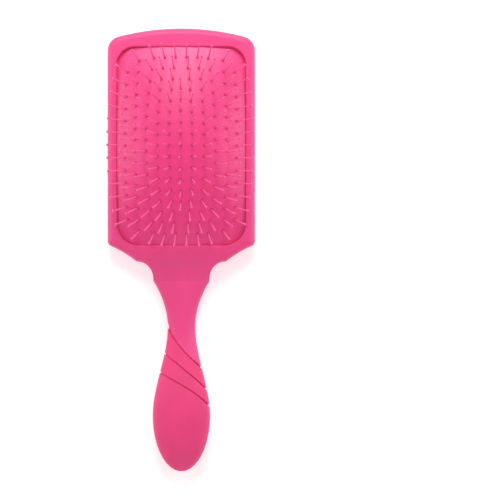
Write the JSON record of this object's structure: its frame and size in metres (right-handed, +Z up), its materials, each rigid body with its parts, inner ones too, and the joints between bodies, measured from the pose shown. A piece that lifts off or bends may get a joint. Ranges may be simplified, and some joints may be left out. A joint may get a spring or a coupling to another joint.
{
  "type": "paddle hair brush",
  "caption": "Rectangular cushioned paddle hair brush with ball-tipped pins, a vented back and a grooved grip handle.",
  "frame": {"origin": "under the middle of the whole brush, in the plane the brush rests on", "axes": "+Z up out of the cushion along the pins, +Y towards the crown of the head, +X across the brush"},
  "size_m": [0.0864, 0.26, 0.0462],
  "materials": {
    "body": "soft-touch satin",
    "grip": "matt soft-touch elastomer",
    "cushion": "smooth satin rubber",
    "pins": "semi-gloss nylon",
    "balls": "gloss dipped coating"
  },
  "bodies": {
    "paddle": {"paddle_body": "body", "grip_sleeve": "grip"},
    "cushion": {"cushion": "cushion"},
    "row_01_neck": {"pins_row_01_neck": "pins", "balls_row_01_neck": "balls"},
    "row_01_crown": {"pins_row_01_crown": "pins", "balls_row_01_crown": "balls"},
    "row_02_neck": {"pins_row_02_neck": "pins", "balls_row_02_neck": "balls"},
    "row_02_crown": {"pins_row_02_crown": "pins", "balls_row_02_crown": "balls"},
    "row_03_neck": {"pins_row_03_neck": "pins", "balls_row_03_neck": "balls"},
    "row_03_crown": {"pins_row_03_crown": "pins", "balls_row_03_crown": "balls"},
    "row_04_neck": {"pins_row_04_neck": "pins", "balls_row_04_neck": "balls"},
    "row_04_crown": {"pins_row_04_crown": "pins", "balls_row_04_crown": "balls"},
    "row_05_neck": {"pins_row_05_neck": "pins", "balls_row_05_neck": "balls"},
    "row_05_crown": {"pins_row_05_crown": "pins", "balls_row_05_crown": "balls"},
    "row_06_neck": {"pins_row_06_neck": "pins", "balls_row_06_neck": "balls"},
    "row_06_crown": {"pins_row_06_crown": "pins", "balls_row_06_crown": "balls"},
    "row_07_neck": {"pins_row_07_neck": "pins", "balls_row_07_neck": "balls"},
    "row_07_crown": {"pins_row_07_crown": "pins", "balls_row_07_crown": "balls"},
    "row_08_neck": {"pins_row_08_neck": "pins", "balls_row_08_neck": "balls"},
    "row_08_crown": {"pins_row_08_crown": "pins", "balls_row_08_crown": "balls"},
    "row_09_neck": {"pins_row_09_neck": "pins", "balls_row_09_neck": "balls"},
    "row_09_crown": {"pins_row_09_crown": "pins", "balls_row_09_crown": "balls"},
    "row_10_neck": {"pins_row_10_neck": "pins", "balls_row_10_neck": "balls"},
    "row_10_crown": {"pins_row_10_crown": "pins", "balls_row_10_crown": "balls"},
    "row_11_neck": {"pins_row_11_neck": "pins", "balls_row_11_neck": "balls"},
    "row_11_crown": {"pins_row_11_crown": "pins", "balls_row_11_crown": "balls"}
  },
  "joints": [
    {"name": "cushion_press", "type": "slide", "parent": "paddle", "child": "cushion", "axis": [0, 0, -1], "range_m": [0, 0.0035], "stiffness_N_per_m": 3000, "deforming": ["cushion"]},
    {"name": "lean_row_01_neck", "type": "hinge", "parent": "cushion", "child": "row_01_neck", "pos_m": [-0.03233, 0.03575, 0.01524], "axis": [-0.0431, 0.9968, 0.0668], "range_deg": [-10, 10], "stiffness_Nm_per_rad": 0.15},
    {"name": "lean_row_01_crown", "type": "hinge", "parent": "cushion", "child": "row_01_crown", "pos_m": [-0.03242, 0.08255, 0.01538], "axis": [0.037, 0.9977, -0.0571], "range_deg": [-10, 10], "stiffness_Nm_per_rad": 0.15},
    {"name": "lean_row_02_neck", "type": "hinge", "parent": "cushion", "child": "row_02_neck", "pos_m": [-0.026, 0.03434, 0.01735], "axis": [-0.0509, 0.993, 0.1062], "range_deg": [-10, 10], "stiffness_Nm_per_rad": 0.15},
    {"name": "lean_row_02_crown", "type": "hinge", "parent": "cushion", "child": "row_02_crown", "pos_m": [-0.026, 0.08756, 0.01735], "axis": [0.0509, 0.993, -0.1062], "range_deg": [-10, 10], "stiffness_Nm_per_rad": 0.15},
    {"name": "lean_row_03_neck", "type": "hinge", "parent": "cushion", "child": "row_03_neck", "pos_m": [-0.01874, 0.03359, 0.01927], "axis": [-0.0944, 0.9865, 0.1335], "range_deg": [-10, 10], "stiffness_Nm_per_rad": 0.15},
    {"name": "lean_row_03_crown", "type": "hinge", "parent": "cushion", "child": "row_03_crown", "pos_m": [-0.01874, 0.08831, 0.01927], "axis": [0.0944, 0.9865, -0.1335], "range_deg": [-10, 10], "stiffness_Nm_per_rad": 0.15},
    {"name": "lean_row_04_neck", "type": "hinge", "parent": "cushion", "child": "row_04_neck", "pos_m": [-0.01212, 0.03181, 0.02038], "axis": [-0.0895, 0.9815, 0.1691], "range_deg": [-10, 10], "stiffness_Nm_per_rad": 0.15},
    {"name": "lean_row_04_crown", "type": "hinge", "parent": "cushion", "child": "row_04_crown", "pos_m": [-0.01231, 0.08685, 0.02072], "axis": [0.0799, 0.9853, -0.1508], "range_deg": [-10, 10], "stiffness_Nm_per_rad": 0.15},
    {"name": "lean_row_05_neck", "type": "hinge", "parent": "cushion", "child": "row_05_neck", "pos_m": [-0.00543, 0.03181, 0.02115], "axis": [-0.0808, 0.9791, 0.1867], "range_deg": [-10, 10], "stiffness_Nm_per_rad": 0.15},
    {"name": "lean_row_05_crown", "type": "hinge", "parent": "cushion", "child": "row_05_crown", "pos_m": [-0.0056, 0.08685, 0.02153], "axis": [0.0721, 0.9834, -0.1666], "range_deg": [-10, 10], "stiffness_Nm_per_rad": 0.15},
    {"name": "lean_row_06_neck", "type": "hinge", "parent": "cushion", "child": "row_06_neck", "pos_m": [0, 0.04091, 0.02333], "axis": [0, 0.9908, 0.1351], "range_deg": [-10, 10], "stiffness_Nm_per_rad": 0.15},
    {"name": "lean_row_06_crown", "type": "hinge", "parent": "cushion", "child": "row_06_crown", "pos_m": [0, 0.07765, 0.02361], "axis": [0, 0.9936, -0.1129], "range_deg": [-10, 10], "stiffness_Nm_per_rad": 0.15},
    {"name": "lean_row_07_neck", "type": "hinge", "parent": "cushion", "child": "row_07_neck", "pos_m": [0.00543, 0.03181, 0.02115], "axis": [0.0808, 0.9791, 0.1867], "range_deg": [-10, 10], "stiffness_Nm_per_rad": 0.15},
    {"name": "lean_row_07_crown", "type": "hinge", "parent": "cushion", "child": "row_07_crown", "pos_m": [0.0056, 0.08685, 0.02153], "axis": [-0.0721, 0.9834, -0.1666], "range_deg": [-10, 10], "stiffness_Nm_per_rad": 0.15},
    {"name": "lean_row_08_neck", "type": "hinge", "parent": "cushion", "child": "row_08_neck", "pos_m": [0.01212, 0.03181, 0.02038], "axis": [0.0895, 0.9815, 0.1691], "range_deg": [-10, 10], "stiffness_Nm_per_rad": 0.15},
    {"name": "lean_row_08_crown", "type": "hinge", "parent": "cushion", "child": "row_08_crown", "pos_m": [0.01231, 0.08685, 0.02072], "axis": [-0.0799, 0.9853, -0.1508], "range_deg": [-10, 10], "stiffness_Nm_per_rad": 0.15},
    {"name": "lean_row_09_neck", "type": "hinge", "parent": "cushion", "child": "row_09_neck", "pos_m": [0.01874, 0.03359, 0.01927], "axis": [0.0944, 0.9865, 0.1335], "range_deg": [-10, 10], "stiffness_Nm_per_rad": 0.15},
    {"name": "lean_row_09_crown", "type": "hinge", "parent": "cushion", "child": "row_09_crown", "pos_m": [0.01874, 0.08831, 0.01927], "axis": [-0.0944, 0.9865, -0.1335], "range_deg": [-10, 10], "stiffness_Nm_per_rad": 0.15},
    {"name": "lean_row_10_neck", "type": "hinge", "parent": "cushion", "child": "row_10_neck", "pos_m": [0.026, 0.03434, 0.01735], "axis": [0.0509, 0.993, 0.1062], "range_deg": [-10, 10], "stiffness_Nm_per_rad": 0.15},
    {"name": "lean_row_10_crown", "type": "hinge", "parent": "cushion", "child": "row_10_crown", "pos_m": [0.026, 0.08756, 0.01735], "axis": [-0.0509, 0.993, -0.1062], "range_deg": [-10, 10], "stiffness_Nm_per_rad": 0.15},
    {"name": "lean_row_11_neck", "type": "hinge", "parent": "cushion", "child": "row_11_neck", "pos_m": [0.03233, 0.03575, 0.01524], "axis": [0.0431, 0.9968, 0.0668], "range_deg": [-10, 10], "stiffness_Nm_per_rad": 0.15},
    {"name": "lean_row_11_crown", "type": "hinge", "parent": "cushion", "child": "row_11_crown", "pos_m": [0.03242, 0.08255, 0.01538], "axis": [-0.037, 0.9977, -0.0571], "range_deg": [-10, 10], "stiffness_Nm_per_rad": 0.15}
  ]
}
